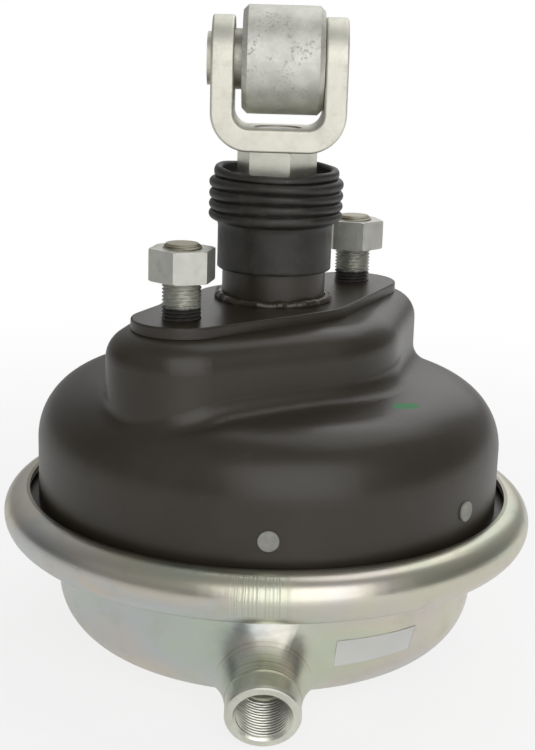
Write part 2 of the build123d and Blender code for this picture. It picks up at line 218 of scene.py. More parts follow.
class Sock:
    """One output of a shader node. Arithmetic on it adds Math nodes to the same tree."""

    def __init__(self, graph, socket):
        self.graph = graph
        self.socket = socket

    def math(self, operation, first, second=0.0):
        return self.graph.node("ShaderNodeMath", {"operation": operation}, {0: first, 1: second})

    def __add__(self, other):
        return self.math("ADD", self, other)

    def __radd__(self, other):
        return self.math("ADD", other, self)

    def __sub__(self, other):
        return self.math("SUBTRACT", self, other)

    def __rsub__(self, other):
        return self.math("SUBTRACT", other, self)

    def __mul__(self, other):
        return self.math("MULTIPLY", self, other)

    def __rmul__(self, other):
        return self.math("MULTIPLY", other, self)

    def __truediv__(self, other):
        return self.math("DIVIDE", self, other)

    def __rtruediv__(self, other):
        return self.math("DIVIDE", other, self)

    def __pow__(self, other):
        return self.math("POWER", self, other)

    def __rpow__(self, other):
        return self.math("POWER", other, self)

    def larger(self, other):
        return self.math("MAXIMUM", self, other)


class Graph:
    """A node tree under construction."""

    def __init__(self, tree):
        self.tree = tree
        tree.nodes.clear()

    def node(self, kind, settings=None, values=None, out=0):
        """Add a node of a kind, set its settings and then its sockets, and return one of its outputs."""
        made = self.tree.nodes.new(kind)
        for key, value in (settings or {}).items():
            if key == "stops":
                ramp = made.color_ramp
                while len(ramp.elements) < len(value):
                    ramp.elements.new(0.5)
                for stop, (place, colour) in zip(ramp.elements, value):
                    stop.position = place
                    stop.color = (*colour, 1.0)
            else:
                setattr(made, key, value)
        for key, value in (values or {}).items():
            self.put(made.inputs[key], value)
        return Sock(self, made.outputs[out]) if made.outputs else made

    def put(self, socket, value):
        """Give a socket a link or a plain value."""
        if isinstance(value, Sock):
            self.tree.links.new(value.socket, socket)
        elif hasattr(socket.default_value, "__len__") and len(socket.default_value) == 4 and len(value) == 3:
            socket.default_value = (*value, 1.0)
        else:
            socket.default_value = value

    def place(self):
        return self.node("ShaderNodeTexCoord", out="Object")

    def split(self, vector):
        outs = self.node("ShaderNodeSeparateXYZ", values={0: vector}).socket.node.outputs
        return [Sock(self, out) for out in outs]

    def rays(self, *kinds):
        """Outputs of the Light Path node, 1 where the ray is of that kind."""
        outs = self.node("ShaderNodeLightPath").socket.node.outputs
        return [Sock(self, outs[kind]) for kind in kinds]

    def vector(self, operation, first, second=(0.0, 0.0, 0.0), out=0):
        return self.node("ShaderNodeVectorMath", {"operation": operation}, {0: first, 1: second}, out)

    def stretch(self, vector, scale, turn=(0.0, 0.0, 0.0)):
        return self.node("ShaderNodeMapping", values={"Vector": vector, "Scale": scale, "Rotation": turn})

    def noise(self, vector, size, detail=3.0, rough=0.55, warp=0.0):
        """Smooth noise from 0 to 1 whose lumps are about size metres wide."""
        values = {
            "Vector": vector, "Scale": 1.0 / size, "Detail": detail, "Roughness": rough, "Distortion": warp,
        }
        return self.node("ShaderNodeTexNoise", values=values)

    def stripes(self, value, detail=2.0):
        """Smooth noise from 0 to 1 along a single value."""
        values = {"W": value, "Scale": 1.0, "Detail": detail}
        return self.node("ShaderNodeTexNoise", {"noise_dimensions": "1D"}, values)

    def cells(self, vector, size, feature):
        """Distance pattern of random cells about size metres wide."""
        return self.node("ShaderNodeTexVoronoi", {"feature": feature}, {"Vector": vector, "Scale": 1.0 / size})

    def fade(self, value, low, high):
        """Smooth step of a value, 0 at low and 1 at high."""
        values = {"Value": value, "From Min": low, "From Max": high}
        return self.node("ShaderNodeMapRange", {"interpolation_type": "SMOOTHSTEP"}, values)

    def blend(self, factor, first, second):
        settings = {"data_type": "RGBA", "clamp_factor": True}
        return self.node("ShaderNodeMix", settings, {0: factor, 6: first, 7: second}, out=2)

    def bump(self, height, distance):
        return self.node("ShaderNodeBump", values={"Height": height, "Distance": distance})

    def scratches(self, vector, size, width, share=0.56):
        """Thin broken lines: edges of warped random cells, kept only where a wider noise is above share."""
        push = self.node("ShaderNodeTexNoise", values={"Vector": vector, "Scale": 0.7 / size}, out="Color")
        warped = self.node(
            "ShaderNodeVectorMath", {"operation": "MULTIPLY_ADD"}, {0: push, 1: (size, size, size), 2: vector}
        )
        line = 1.0 - self.fade(self.cells(warped, size, "DISTANCE_TO_EDGE"), 0.0, width)
        keep = self.fade(self.noise(vector, size * 1.3, 2.0), share, share + 0.12)
        return line * keep

    def specks(self, vector, size, reach, share):
        """Small round dots in some of the cells of a random cell pattern."""
        dot = 1.0 - self.fade(self.cells(vector, size, "F1"), reach * 0.5, reach)
        return dot * self.fade(self.noise(vector, size * 2.5, 1.0), share, share + 0.06)


def finish(name, plain, build):
    """Make a material: build() returns the linked inputs, and plain holds the shader's constant inputs."""
    material = bpy.data.materials.new(name)
    material.use_nodes = True
    graph = Graph(material.node_tree)
    links = build(graph)
    shader = graph.node("ShaderNodeBsdfPrincipled", values={**plain, **links})
    graph.node("ShaderNodeOutputMaterial", values={"Surface": shader})
    return material


def shaded(colour, share):
    """A colour made darker or lighter by a share."""
    return tuple(share * part for part in colour)


def from_port(g, at):
    """Vector from the middle of the port's mouth, and its length along the port's axis."""
    mouth = g.vector("SUBTRACT", at, tuple(PORT_MOUTH))
    return mouth, g.vector("DOT_PRODUCT", mouth, tuple(PORT_DIRECTION), "Value")


def green_dab(g, at):
    """Share of the green dab: an ellipse on the crown with a ragged edge."""
    x, y, z = g.split(at)
    east, north = x - DAB_CENTRE[0], y - DAB_CENTRE[1]
    along = (east * DAB_COSINE - north * DAB_SINE) / DAB_LENGTH
    across = (east * DAB_SINE + north * DAB_COSINE) / DAB_WIDTH
    reach = along * along + across * across + g.noise(at, 0.0035) * 0.9
    return (1.0 - g.fade(reach, 1.15, 1.5)) * g.fade(z, -0.06, -0.055)


def black_paint(name, colours, mark=False, gloss=0.0):
    """Satin brown-black paint: orange peel, patchy gloss, dust, short scratches and the dab on the crown."""
    dusty, bare = (0.11, 0.10, 0.085), (0.30, 0.29, 0.26)

    def build(g):
        at = g.place()
        patch = g.noise(at, 0.045, 4.0)
        peel = g.noise(at, 0.0022, 2.0)
        dust = g.fade(g.noise(at, 0.0009, 1.0), 0.66, 0.82) * g.fade(g.noise(at, 0.03), 0.42, 0.66)
        lines = g.scratches(at, 0.007, 0.014, 0.70)
        dots = g.specks(at, 0.011, 0.055, 0.60)
        colour = g.blend(g.fade(patch, 0.35, 0.75) * 0.6, tuple(colours.paint), shaded(colours.paint, 1.7))
        colour = g.blend(dust * 0.22, colour, dusty)
        colour = g.blend((lines * 0.30).larger(dots * 0.45), colour, bare)
        rough = 0.32 - gloss + patch * 0.12 + dust * 0.15 + lines * 0.1
        if mark:
            dab = green_dab(g, at)
            colour = g.blend(dab * 0.92, colour, tuple(colours.mark))
            rough = rough + dab * 0.30
        height = peel * 0.5 + g.noise(at, 0.007, 2.0) * 0.5 - lines * 0.4
        return {"Base Color": colour, "Roughness": rough, "Normal": g.bump(height, 0.00010)}

    return finish(name, {"Metallic": 0.0, "IOR": 1.5, "Coat Weight": 0.12, "Coat Roughness": 0.22}, build)


def cover_zinc(name, colours):
    """Passivated zinc: yellowish with drifting tints, rubbed rings, tool streaks on bead and port neck, and a
    painted shadow along the bead's inner lip.
    """
    stain, scraped, shadow = (0.48, 0.46, 0.37), (0.36, 0.36, 0.31), (0.16, 0.15, 0.10)
    greenish, heated = (0.57, 0.66, 0.52), (0.46, 0.36, 0.24)

    def build(g):
        at = g.place()
        x, y, z = g.split(at)
        radius = (x * x + y * y) ** 0.5
        turn = g.node("ShaderNodeMath", {"operation": "ARCTAN2"}, {0: y, 1: x})

        drift = g.noise(g.stretch(at, (1.0, 1.0, 1.8)), 0.060, 2.0, 0.45, 0.5)
        tint = g.node("ShaderNodeValToRGB", {"stops": PLATING_TINTS}, {0: drift})
        blot = g.fade(g.noise(at, 0.012, 4.0, 0.6), 0.48, 0.78)
        unrolled = g.node("ShaderNodeCombineXYZ", values={0: turn * 2.0, 1: (z + radius) * 900.0})
        rings = g.node(
            "ShaderNodeTexNoise", {"noise_dimensions": "2D"}, {"Vector": unrolled, "Scale": 1.0, "Detail": 3.0}
        )
        lines = g.scratches(at, 0.026, 0.008)

        aside = g.node("ShaderNodeMath", {"operation": "ABSOLUTE"}, {0: turn + 2.50})
        bead = g.fade(radius, 0.108, 0.112) * g.fade(z, -0.1015, -0.0970)
        tooled = (1.0 - g.fade(aside, 0.05, 0.15)) * bead
        bars = g.stripes(turn * 150.0)
        streak = g.fade(bars, 0.47, 0.60) * tooled
        # Painted shadow: the top of the bead inward of its crest, beside the gap to the black housing, is
        # darkened.
        edge = g.fade(z, -0.0866, -0.0852) * (1.0 - g.fade(radius, 0.1069, 0.1076))

        mouth, along = from_port(g, at)
        apart = g.vector("LENGTH", mouth, out="Value")
        neck = (1.0 - g.fade(apart, 0.027, 0.031)) * g.fade(z, -0.134, -0.126)
        drawn = g.fade(g.stripes(along * 900.0, 1.0), 0.54, 0.62) * neck
        flare = (1.0 - g.fade(apart, 0.034, 0.062)) * g.fade(g.noise(at, 0.022, 2.0), 0.30, 0.62)

        colour = g.blend(0.75, tuple(colours.zinc), tint)
        layers = (
            (blot * 0.22, stain), (streak * 0.40, scraped), (edge * 0.6, shadow),
            (flare * 0.50, greenish), (drawn * 0.5, heated),
        )
        for share, layer in layers:
            colour = g.blend(share, colour, layer)
        rough = 0.26 + rings * 0.10 + blot * 0.08 + streak * 0.18 + lines * 0.12
        height = rings * 0.5 + g.noise(at, 0.0018, 2.0) * 0.35 + bars * tooled - lines * 0.4
        return {"Base Color": colour, "Roughness": rough, "Normal": g.bump(height, 0.00007)}

    return finish(name, {"Metallic": 1.0}, build)


def paper(name, base):
    """Coated label paper: almost even, faintly clouded and slightly greyed in small rubbed spots."""

    def build(g):
        at = g.place()
        cloud = g.noise(at, 0.018, 2.0, 0.4)
        fibre = g.noise(at, 0.0007, 2.0)
        rub = g.fade(g.noise(at, 0.0035), 0.62, 0.80)
        colour = g.blend(g.fade(cloud, 0.3, 0.7), shaded(base, 0.96), shaded(base, 1.03))
        colour = g.blend(rub * 0.10, colour, shaded(base, 0.6))
        return {"Base Color": colour, "Roughness": 0.36 + fibre * 0.12, "Normal": g.bump(fibre, 0.00001)}

    return finish(name, {"Metallic": 0.0, "IOR": 1.45}, build)


def plated(name, base, rough, stain, grain=0.0016, cloudy=0.14, depth=0.00006, foot=None, tip=None):
    """Dull plating or bare steel with clouded colour, stains and rubs.

    Where foot and tip are given, it is painted black below the height foot and yellowed above the height tip.
    """
    painted_black, yellow = (0.030, 0.028, 0.024), (0.34, 0.30, 0.20)
    light = tuple(min(1.0, part) for part in shaded(base, 1.0 + 0.7 * cloudy))
    dark = shaded(base, 1.0 - cloudy)

    def build(g):
        at = g.place()
        cloud = g.noise(at, 0.011, 4.0, 0.6)
        fine = g.noise(at, grain, 3.0, 0.6)
        blot = g.fade(g.noise(at, 0.006, 4.0, 0.65), 0.52, 0.76)
        lines = g.scratches(at, 0.009, 0.016, 0.60)
        colour = g.blend(g.fade(cloud, 0.32, 0.70), dark, light)
        colour = g.blend(blot * stain, colour, shaded(base, 0.35))
        colour = g.blend(lines * 0.3, colour, light)
        gloss = rough + (fine - 0.5) * 0.16 + blot * 0.1 - lines * 0.08
        height = fine * 0.7 + cloud * 0.6 - lines * 0.3
        links = {"Base Color": colour, "Roughness": gloss, "Normal": g.bump(height, depth)}
        if foot is not None:
            z = g.split(at)[2]
            ragged = z + (g.noise(at, 0.0025, 2.0) - 0.5) * 0.002
            painted = 1.0 - g.fade(ragged, foot - 0.0006, foot + 0.0006)
            yellowed = g.fade(z, tip, tip + 0.0003) * (0.45 + 0.4 * g.fade(cloud, 0.35, 0.65))
            colour = g.blend(yellowed, colour, yellow)
            links["Base Color"] = g.blend(painted, colour, painted_black)
            links["Metallic"] = 1.0 - painted
        return links

    return finish(name, {} if foot is not None else {"Metallic": 1.0}, build)


def port_steel(name, base):
    """Machined steel with turned lines round the port's axis; the roots of the thread are darkened, partly by old
    oily grime and partly as painted shade in the grooves.
    """
    oily_root_shade = (0.07, 0.065, 0.055)

    def build(g):
        at = g.place()
        mouth, along = from_port(g, at)
        reach = g.vector("LENGTH", g.vector("CROSS_PRODUCT", mouth, tuple(PORT_DIRECTION)), out="Value")
        # Painted shade with some oily grime: a band at the root radius of the thread, from a little inside the
        # mouth, is darkened.
        groove_only = g.fade(reach, 0.01032, 0.01085) * (1.0 - g.fade(reach, 0.0112, 0.0113))
        root = groove_only * (1.0 - g.fade(along, -0.0016, -0.0010))
        turned = g.stripes((along + reach) * 4200.0)
        cloud = g.noise(at, 0.009)
        dots = g.specks(at, 0.006, 0.05, 0.58)
        colour = g.blend(g.fade(cloud, 0.3, 0.7), shaded(base, 0.88), shaded(base, 1.06))
        colour = g.blend(dots * 0.4, colour, shaded(base, 0.4))
        # Painted shade and oily grime laid into the thread roots.
        colour = g.blend(root * 0.85, colour, oily_root_shade)
        rough = 0.26 + turned * 0.10 + cloud * 0.06 + root * 0.2
        return {"Base Color": colour, "Roughness": rough, "Normal": g.bump(turned + cloud * 0.4, 0.00002)}

    return finish(name, {"Metallic": 1.0}, build)


def scuffed_roller(name, base):
    """Used roller: dull steel with a fine grain, clusters of dark pits, faint scuffs and pale rub lines."""
    dark, pale = (0.20, 0.19, 0.17), (0.78, 0.77, 0.71)

    def build(g):
        at = g.place()
        cloud = g.noise(at, 0.013, 4.0, 0.6)
        fine = g.noise(at, 0.0011)
        cluster = g.fade(g.noise(at, 0.010, 2.0), 0.46, 0.64)
        pits = g.fade(g.noise(at, 0.0014, 4.0, 0.7), 0.50, 0.68) * cluster
        scuff = g.scratches(at, 0.0065, 0.030, 0.60)
        thin = g.scratches(g.stretch(at, (1.0, 1.0, 1.0), (0.4, 0.9, 0.3)), 0.016, 0.012)
        colour = g.blend(g.fade(cloud, 0.34, 0.68), shaded(base, 0.86), shaded(base, 1.10))
        colour = g.blend((scuff * 0.16).larger(pits * 0.46), colour, dark)
        colour = g.blend(thin * 0.35, colour, pale)
        rough = 0.54 + (fine - 0.5) * 0.2 + pits * 0.2
        height = fine * 0.5 - pits * 1.1 - scuff * 0.25 - thin * 0.4 + cloud * 0.5
        return {"Base Color": colour, "Roughness": rough, "Normal": g.bump(height, 0.00006)}

    return finish(name, {"Metallic": 0.85}, build)


def rubber(name, base, dusty):
    """Matt rubber with a fine skin, faint bloom and dust."""
    bloomed, dust = (0.085, 0.080, 0.070), (0.24, 0.23, 0.20)

    def build(g):
        at = g.place()
        cloud = g.noise(at, 0.014, 4.0, 0.6)
        skin = g.noise(at, 0.0010, 2.0)
        bloom = g.fade(g.noise(at, 0.005, 4.0, 0.65), 0.50, 0.78)
        dots = g.specks(at, 0.004, 0.13, 0.57)
        colour = g.blend(g.fade(cloud, 0.35, 0.7), base, shaded(base, 1.9))
        colour = g.blend(bloom * dusty, colour, bloomed)
        colour = g.blend(dots * 0.35, colour, dust)
        rough = 0.43 + bloom * 0.2 + (skin - 0.5) * 0.1
        return {"Base Color": colour, "Roughness": rough, "Normal": g.bump(skin * 0.5 + cloud, 0.00009)}

    return finish(name, {"Metallic": 0.0, "IOR": 1.5}, build)


def moulded(name, base):
    """Grey plastic with clouding, smears and a fine grain."""

    def build(g):
        at = g.place()
        cloud = g.noise(at, 0.004, 4.0, 0.6)
        grain = g.noise(at, 0.0006, 2.0)
        smear = g.fade(g.noise(g.stretch(at, (1.0, 1.0, 3.0)), 0.006), 0.5, 0.8)
        colour = g.blend(g.fade(cloud, 0.3, 0.75), shaded(base, 0.86), shaded(base, 1.1))
        colour = g.blend(smear * 0.25, colour, shaded(base, 0.55))
        rough = 0.5 + (grain - 0.5) * 0.15
        return {"Base Color": colour, "Roughness": rough, "Normal": g.bump(grain * 0.4 + cloud * 0.5, 0.00005)}

    return finish(name, {"Metallic": 0.0}, build)


def surface(name, points, wrap_rows=False, wrap_columns=True, first=None, last=None, crease=38.0):
    """Mesh object from a grid of points, rows by columns.

    Neighbouring rows and columns are joined by quads, wrapped round where asked; first and last
    are single points that close the first and the last row with a fan of triangles.
    """
    rows, columns = points.shape[:2]
    index = np.arange(rows * columns).reshape(rows, columns)
    right = np.roll(index, -1, axis=1) if wrap_columns else index[:, 1:]
    left = index if wrap_columns else index[:, :-1]
    if wrap_rows:
        low_left, low_right = left, right
        up_left, up_right = np.roll(left, -1, axis=0), np.roll(right, -1, axis=0)
    else:
        low_left, low_right, up_left, up_right = left[:-1], right[:-1], left[1:], right[1:]
    quads = np.stack([low_left, low_right, up_right, up_left], axis=-1).reshape(-1, 4)
    verts = points.reshape(-1, 3)
    faces = quads.tolist()
    if first is not None:
        fan = np.stack([np.full(columns, len(verts)), right[0], left[0]], axis=-1)
        verts = np.vstack([verts, first])
        faces += fan.tolist()
    if last is not None:
        fan = np.stack([left[-1], right[-1], np.full(columns, len(verts))], axis=-1)
        verts = np.vstack([verts, last])
        faces += fan.tolist()
    mesh = bpy.data.meshes.new(name)
    mesh.from_pydata(verts.tolist(), [], faces)
    mesh.polygons.foreach_set("use_smooth", np.ones(len(mesh.polygons), dtype=bool))
    mesh.set_sharp_from_angle(angle=math.radians(crease))
    mesh.update()
    piece = bpy.data.objects.new(name, mesh)
    bpy.context.scene.collection.objects.link(piece)
    return piece


def around(count):
    """Angles of one full turn, the last one left out."""
    return np.linspace(0.0, 2.0 * np.pi, count, endpoint=False)


def groove(phase):
    """Rounded vee from 0 at a thread's crest to 1 at its root, for a phase counted in turns."""
    share = np.abs(2.0 * (phase - np.floor(phase)) - 1.0)
    return np.clip(1.18 * share - 0.09, 0.0, 1.0)


def spaced(*stops):
    """Profile through stops (r, z, points): each stop is reached from the one before in that many steps."""
    radii, heights = [np.array([stops[0][0]])], [np.array([stops[0][1]])]
    for (r0, z0, _), (r1, z1, count) in zip(stops[:-1], stops[1:]):
        share = np.arange(1, count + 1) / count
        radii.append(r0 + (r1 - r0) * share)
        heights.append(z0 + (z1 - z0) * share)
    return np.concatenate(radii), np.concatenate(heights)


def between(ends, share):
    """Value at a share of the way from one end to the other."""
    return ends[0] + (ends[1] - ends[0]) * share


def rounded(corners, radii, steps):
    """Points along a line through corners, each inner corner rounded by its radius in a number of steps."""
    line = [np.array([corners[0]])]
    for before, corner, after, radius in zip(corners[:-2], corners[1:-1], corners[2:], radii):
        before, corner, after = np.array(before), np.array(corner), np.array(after)
        come = (corner - before) / np.linalg.norm(corner - before)
        go = (after - corner) / np.linalg.norm(after - corner)
        turn = math.acos(np.clip(come @ go, -1.0, 1.0))
        run = radius * math.tan(turn / 2.0)
        side = (go - come * (come @ go)) / math.sin(turn)
        sweep = np.linspace(0.0, turn, steps)[:, None]
        line.append(corner - come * run + radius * (come * np.sin(sweep) + side * (1.0 - np.cos(sweep))))
    line.append(np.array([corners[-1]]))
    return np.concatenate(line)


def dress(piece, material, slot, *nodes):
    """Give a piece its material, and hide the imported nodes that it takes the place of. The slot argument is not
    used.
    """
    piece.data.materials.append(material)
    if nodes:
        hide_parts(*nodes)
    return piece


def stud(name, node, sizes):
    """Headed stud: a turned profile whose shank radius falls by a vee groove that climbs one pitch per turn."""
    low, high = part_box(node)
    centre = (low + high) / 2.0
    radius, pitch, cut = sizes.stud_radius, sizes.stud_pitch, sizes.stud_chamfer
    head = (high.x - low.x) / 2.0
    seat = low.z + 5.0 * MM
    edge = 0.4 * MM
    r, z = spaced(
        (head - edge, low.z, 0), (head, low.z + edge, 2), (head, seat - edge, 4), (head - edge, seat, 2),
        (radius, seat, 3), (radius, high.z - cut, 260), (radius - cut, high.z, 8),
    )
    turn = around(72)
    phase = z[:, None] / pitch - turn[None, :] / (2.0 * np.pi)
    threaded = np.clip((z - seat) / (2.0 * pitch), 0.0, 1.0)[:, None] * (r <= radius + 1e-6)[:, None]
    shank = radius - sizes.stud_groove * groove(phase) * threaded
    radial = np.minimum(r[:, None], np.where(threaded > 0.0, shank, r[:, None]))
    points = np.stack(
        [
            centre.x + radial * np.cos(turn),
            centre.y + radial * np.sin(turn),
            np.broadcast_to(z[:, None], radial.shape),
        ],
        axis=-1,
    )
    foot, end = [[centre.x, centre.y, low.z]], [[centre.x, centre.y, high.z]]
    return surface(name, points, first=foot, last=end, crease=30.0)


def port(name, sizes):
    """Port boss: a turned ring round the port's axis, its bore opened by a climbing vee groove.

    The groove climbs one pitch per turn. Behind the visible boss a thinner spigot carries the bore
    into the cover, where a plain passage goes on.
    """
    pitch, round_off, chamfer_steps = sizes.port_pitch, 0.2 * MM, 14
    outer_r, outer_t = spaced(
        (PORT_PASSAGE, -PORT_SPIGOT_DEPTH, 0), (PORT_SPIGOT, -PORT_SPIGOT_DEPTH, 4),
        (PORT_SPIGOT, -PORT_BOSS_DEPTH, 10), (PORT_BOSS - round_off, -PORT_BOSS_DEPTH, 3),
        (PORT_BOSS, round_off - PORT_BOSS_DEPTH, 2), (PORT_BOSS, -1.1 * MM, 8),
        (PORT_BOSS - 0.3 * MM, -0.4 * MM, 3), (PORT_BOSS - 1.1 * MM, 0.0, 3),
        (PORT_BORE + PORT_CHAMFER, 0.0, 4), (PORT_BORE, -PORT_CHAMFER, chamfer_steps),
    )
    inner_r, inner_t = spaced(
        (PORT_BORE, -PORT_CHAMFER, 0), (PORT_BORE, -PORT_THREAD_DEPTH, 170),
        (PORT_PASSAGE, -PORT_THREAD_DEPTH, 5), (PORT_PASSAGE, round_off - PORT_SPIGOT_DEPTH, 5),
    )
    r, t = np.concatenate([outer_r, inner_r[1:]]), np.concatenate([outer_t, inner_t[1:]])
    past_edge = np.arange(len(r)) > len(outer_r) - chamfer_steps
    inside = past_edge & (t > 0.05 * MM - PORT_THREAD_DEPTH)
    turn = around(112)
    phase = t[:, None] / pitch - turn[None, :] / (2.0 * np.pi)
    run_out = np.clip((t + PORT_THREAD_DEPTH) / (1.5 * pitch), 0.0, 1.0)[:, None]
    thread = PORT_BORE + sizes.port_groove * (1.0 - groove(phase)) * run_out
    radial = np.where(inside[:, None], np.maximum(r[:, None], thread), r[:, None])
    side = np.cross([0.0, 0.0, 1.0], PORT_DIRECTION)
    side /= np.linalg.norm(side)
    up = np.cross(PORT_DIRECTION, side)
    points = (
        PORT_MOUTH
        + t[:, None, None] * PORT_DIRECTION
        + (radial * np.cos(turn))[..., None] * side
        + (radial * np.sin(turn))[..., None] * up
    )
    return surface(name, points, wrap_rows=True, crease=30.0)


def weld(name, sizes):
    """Weld bead: a ring of flat round section whose radius swells with uneven lumps and fine ripples."""
    section_radius, ring_radius, centre_z, flatness = 2.20 * MM, 23.4 * MM, 0.75 * MM, 0.95
    lump_height = 0.42 * MM
    turn = around(480)[None, :]
    section = around(28)[:, None]
    ripple = np.sin(71.0 * turn + 4.0 * np.sin(5.0 * turn)) * np.sin(4.0 * turn + 1.2 * np.sin(3.0 * turn))
    lump = (
        0.5 * np.sin(3.0 * turn + 0.6) + 0.5 * np.sin(7.0 * turn + 2.1) + 0.6 * np.sin(13.0 * turn + 0.4)
        + 0.5 * np.sin(19.0 * turn + 1.9 + np.sin(2.0 * turn)) + 0.3 * np.sin(29.0 * turn + 0.3)
    )
    facing = np.clip(np.cos(section - 0.8), 0.0, 1.0)
    radius = section_radius + facing * (sizes.weld_ripple * ripple + lump_height * lump)
    ring = ring_radius + 0.35 * MM * np.sin(4.0 * turn + 1.0) + 0.2 * MM * np.sin(9.0 * turn)
    reach = ring + radius * np.cos(section)
    height = centre_z + flatness * radius * np.sin(section)
    points = np.stack([reach * np.cos(turn), reach * np.sin(turn), height], axis=-1)
    return surface(name, points, wrap_rows=True, crease=80.0)


def boot(name, sizes):
    """Boot: a turned skin with a cuff, four half-round rings and a cup that runs in to the rod's collar.

    The free rim of the cup is waved up and down round the turn and stands higher at the back,
    and each ring sags a little in its own slow wave.
    """
    low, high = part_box("rod_boot")
    neck, cuff, rod, collar, inner = 22.4 * MM, 24.6 * MM, 10.3 * MM, 13.3 * MM, 24.8 * MM
    rings, half, core, first_ring = 4, 2.25 * MM, 26.5 * MM, 36.35 * MM
    roll, roll_centre = 1.75 * MM, 25.2 * MM
    sweep = np.linspace(-0.5 * np.pi, 0.5 * np.pi, 15)[1:-1]
    ring_z = first_ring + 2.0 * half * np.arange(rings)
    ring_r = np.tile(core + half * np.cos(sweep), rings)
    ring_h = (ring_z[:, None] + half * np.sin(sweep)[None, :]).reshape(-1)
    cuff_r, cuff_z = spaced(
        (neck, low.z, 0), (24.2 * MM, low.z, 2), (cuff, low.z + 0.4 * MM, 3),
        (cuff, 31.5 * MM, 14), (25.0 * MM, 33.2 * MM, 4), (26.0 * MM, 34.0 * MM, 3),
    )
    lip = np.linspace(-0.35 * np.pi, np.pi, 17)
    lip_r = roll_centre + roll * np.cos(lip)
    lip_z = high.z - roll + roll * np.sin(lip)
    in_r, in_z = spaced(
        (23.4 * MM, high.z - 2.8 * MM, 0), (22.9 * MM, 52.0 * MM, 4), (21.2 * MM, 51.0 * MM, 4),
        (14.6 * MM, 49.4 * MM, 8), (collar, 48.6 * MM, 2), (13.0 * MM, 46.0 * MM, 3), (10.7 * MM, 46.0 * MM, 2),
        (rod, 45.6 * MM, 2), (rod, 40.4 * MM, 6), (10.7 * MM, 40.0 * MM, 2),
        (collar, 40.0 * MM, 2), (neck, 46.4 * MM, 8), (inner, 46.8 * MM, 3),
        (inner, 37.0 * MM, 14), (neck, 35.5 * MM, 4), (neck, low.z + 0.4 * MM, 12),
    )
    r = np.concatenate([cuff_r, ring_r, lip_r, in_r])
    z = np.concatenate([cuff_z, ring_h, lip_z, in_z])
    turn = around(144)[None, :]
    free = np.clip((z - 51.6 * MM) / (3.4 * MM), 0.0, 1.0)[:, None]
    free = free * free * (3.0 - 2.0 * free)
    wave = 0.25 * np.cos(3.0 * turn - 0.8) + 0.16 * np.cos(7.0 * turn) - 0.45 * np.cos(2.0 * turn - 1.3)
    back = 1.0 + np.cos(turn - 0.65)
    outer = ((r > 25.5 * MM) & (z > 33.0 * MM))[:, None]
    sag = 0.30 * MM * np.cos(2.0 * turn + 260.0 * z[:, None]) * outer * (1.0 - free)
    tall = z[:, None] + sizes.boot_wave * (wave + back) * free + sag
    reach = r[:, None] + outer * 0.14 * MM * np.sin(5.0 * turn + 130.0 * z[:, None])
    reach = reach + 0.35 * MM * free * np.cos(4.0 * turn)
    points = np.stack([reach * np.cos(turn), reach * np.sin(turn), tall], axis=-1)
    return surface(name, points, wrap_rows=True, crease=60.0)


def spring(name):
    """Return spring: round wire along a cone-wound helix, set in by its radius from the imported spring's box."""
    low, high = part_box("return_spring")
    wire, foot, top, turns = 2.75 * MM, 31.0 * MM, 38.0 * MM, 5.0
    share = np.linspace(0.0, 1.0, 520)
    bend = 2.0 * np.pi * turns * share
    reach = between((foot, top), share)
    height = between((low.z + wire, high.z - wire), share)
    core = np.stack([reach * np.cos(bend), reach * np.sin(bend), height], axis=-1)
    along = np.gradient(core, axis=0)
    along /= np.linalg.norm(along, axis=1, keepdims=True)
    out = np.stack([np.cos(bend), np.sin(bend), np.zeros_like(bend)], axis=-1)
    out -= along * np.sum(out * along, axis=1, keepdims=True)
    out /= np.linalg.norm(out, axis=1, keepdims=True)
    side = np.cross(along, out)
    ring = around(18)
    points = core[:, None, :] + wire * (
        np.cos(ring)[None, :, None] * out[:, None, :] + np.sin(ring)[None, :, None] * side[:, None, :]
    )
    return surface(name, points, first=core[:1], last=core[-1:], crease=50.0)


def diaphragm(name):
    """Diaphragm: a turned cup; its lower line rounds the bowl's corners, its upper line is set in from it."""
    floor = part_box("diaphragm")[0].z
    thick = 3.0 * MM
    corners = [
        (0.0, floor), (41.65 * MM, floor), (87.96 * MM, -143.86 * MM), (92.19 * MM, -102.2 * MM),
        (95.2 * MM, -95.5 * MM), (109.0 * MM, -95.5 * MM),
    ]
    lower = rounded(corners, [21.7 * MM, 21.7 * MM, 8.0 * MM, 6.0 * MM], 14)
    share = np.concatenate([[0.0], np.cumsum(np.linalg.norm(np.diff(lower, axis=0), axis=1))])
    even = np.linspace(0.0, share[-1], 130)
    lower = np.stack([np.interp(even, share, lower[:, 0]), np.interp(even, share, lower[:, 1])], axis=-1)
    along = np.gradient(lower, axis=0)
    along /= np.linalg.norm(along, axis=1, keepdims=True)
    upper = lower + thick * np.stack([-along[:, 1], along[:, 0]], axis=-1)
    loop = np.concatenate([lower[1:], upper[:0:-1]])
    turn = around(120)
    points = np.stack(
        [
            loop[:, :1] * np.cos(turn),
            loop[:, :1] * np.sin(turn),
            np.broadcast_to(loop[:, 1:], (len(loop), len(turn))),
        ],
        axis=-1,
    )
    return surface(name, points, first=[[0.0, 0.0, floor]], last=[[0.0, 0.0, floor + thick]], crease=60.0)


